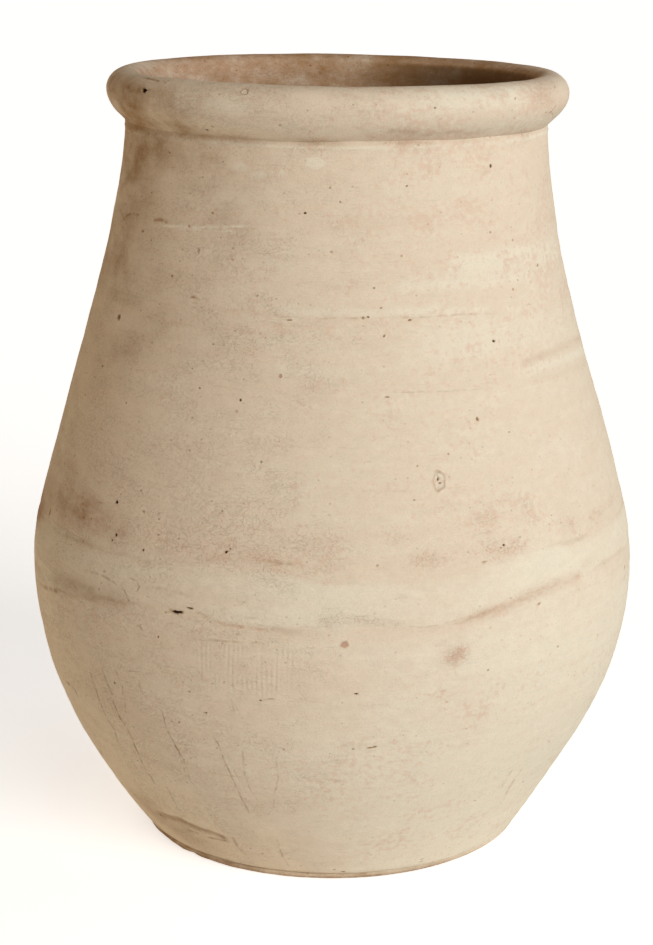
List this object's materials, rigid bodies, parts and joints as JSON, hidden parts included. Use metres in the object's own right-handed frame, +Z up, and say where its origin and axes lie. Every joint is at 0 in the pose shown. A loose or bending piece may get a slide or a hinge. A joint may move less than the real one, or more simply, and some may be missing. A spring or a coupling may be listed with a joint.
{
  "type": "olive jar",
  "caption": "Tall unglazed clay storage jar with a flat slab foot, a wide round belly, a drawn-in neck and a thick rolled rim round an open mouth.",
  "frame": {"origin": "centre of the foot slab's underside, where the jar rests on the floor", "axes": "+Z up along the axis that the jar was turned about, from the foot to the mouth; the jar is round, so +X and +Y are alike"},
  "size_m": [0.4756, 0.4756, 0.6],
  "materials": {
    "pale_clay": "matte",
    "slip_clay": "matte",
    "rim_clay": "matte"
  },
  "bodies": {
    "root": {"foot_slab": "pale_clay", "bowl_section": "pale_clay", "belly_band": "slip_clay", "shoulder_section": "pale_clay", "neck_section": "pale_clay", "rim_roll": "rim_clay"}
  },
  "joints": []
}
